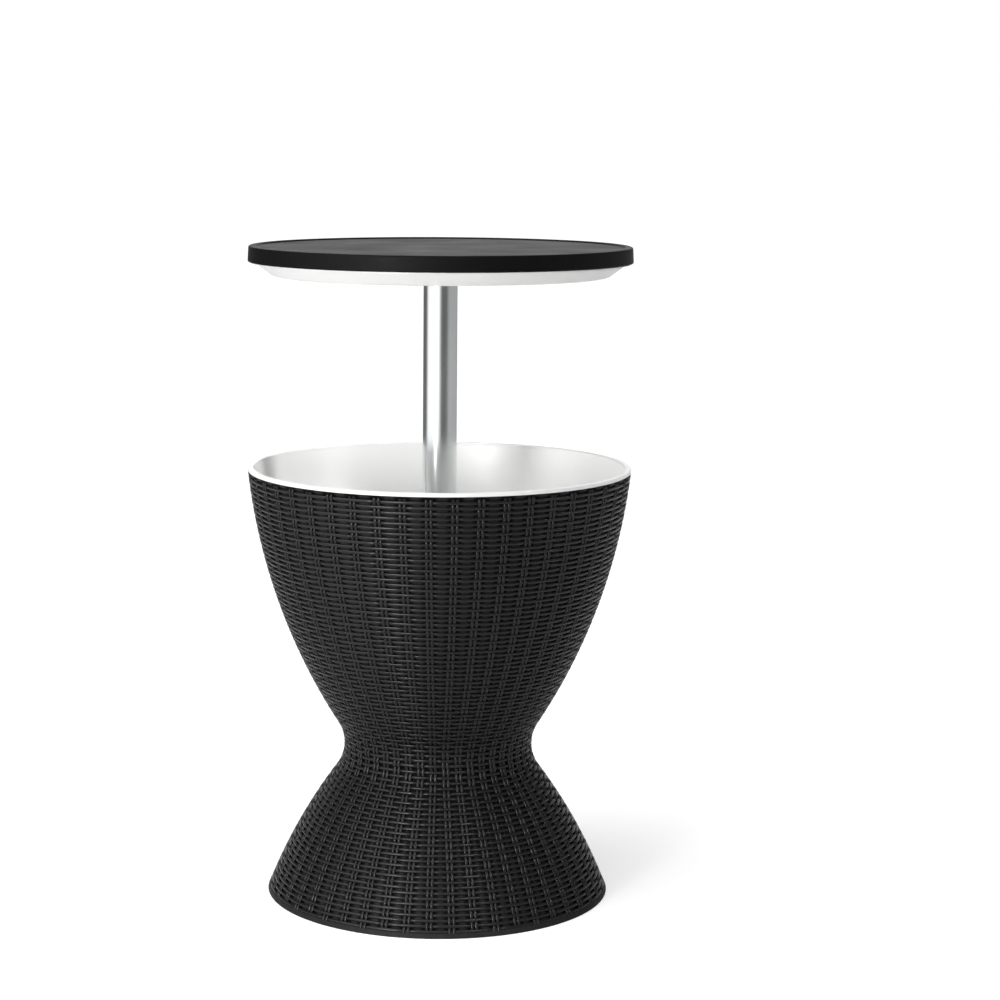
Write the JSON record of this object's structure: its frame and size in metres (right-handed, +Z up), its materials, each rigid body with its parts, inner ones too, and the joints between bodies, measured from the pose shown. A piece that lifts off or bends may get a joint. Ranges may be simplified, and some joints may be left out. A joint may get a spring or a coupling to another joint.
{
  "type": "cooler table with lid",
  "caption": "Hourglass woven-look cooler table: a tub for ice and a round lid on a pole that lifts and turns to lock as a bar-height top.",
  "frame": {"origin": "on the floor, at the centre of the foot ring", "axes": "+Z up along the pole; -Y faces the viewer; +X to the viewer's right, towards the drain"},
  "size_m": [0.4934, 0.4934, 0.8419],
  "materials": {
    "woven_black": "moulded imitation wicker, satin black",
    "black_plastic": "fine-grained satin black",
    "white_plastic": "smooth white",
    "grey_plastic": "smooth grey",
    "pole_metal": "satin anodised",
    "steel": "stainless",
    "black_rubber": "soft"
  },
  "bodies": {
    "cooler_body": {"base_shell": "woven_black", "upper_shell": "woven_black", "tub": "white_plastic", "tub_column": "white_plastic", "outer_tube": "pole_metal", "tube_flange": "steel", "guide_bush": "grey_plastic", "wiper_seal": "black_rubber", "column_cap": "white_plastic", "waist_screws": "steel", "tube_flange_screws": "steel", "drain_fitting": "white_plastic", "drain_gasket": "black_rubber", "drain_locknut": "white_plastic"},
    "glide": {"glide_ring": "grey_plastic"},
    "table": {"pole_tube": "pole_metal", "pole_foot_plug": "grey_plastic", "lock_pin": "steel", "pole_flange": "black_plastic", "pole_cross_bolt": "steel", "pole_cross_nut": "steel", "lid_top": "black_plastic", "lid_under": "white_plastic", "lid_screws": "steel", "pole_flange_screws": "steel"},
    "stopper": {"drain_stopper": "grey_plastic", "stopper_seal": "black_rubber"}
  },
  "joints": [
    {"name": "table_lift", "type": "slide", "parent": "cooler_body", "child": "glide", "axis": [0, 0, 1], "range_m": [-0.2617, 0]},
    {"name": "table_turn", "type": "hinge", "parent": "glide", "child": "table", "pos_m": [0, 0, 0.28], "axis": [0, 0, 1], "range_deg": [-30, 0]},
    {"name": "stopper_pull", "type": "slide", "parent": "cooler_body", "child": "stopper", "axis": [0, 0, 1], "range_m": [0, 0.15]}
  ]
}
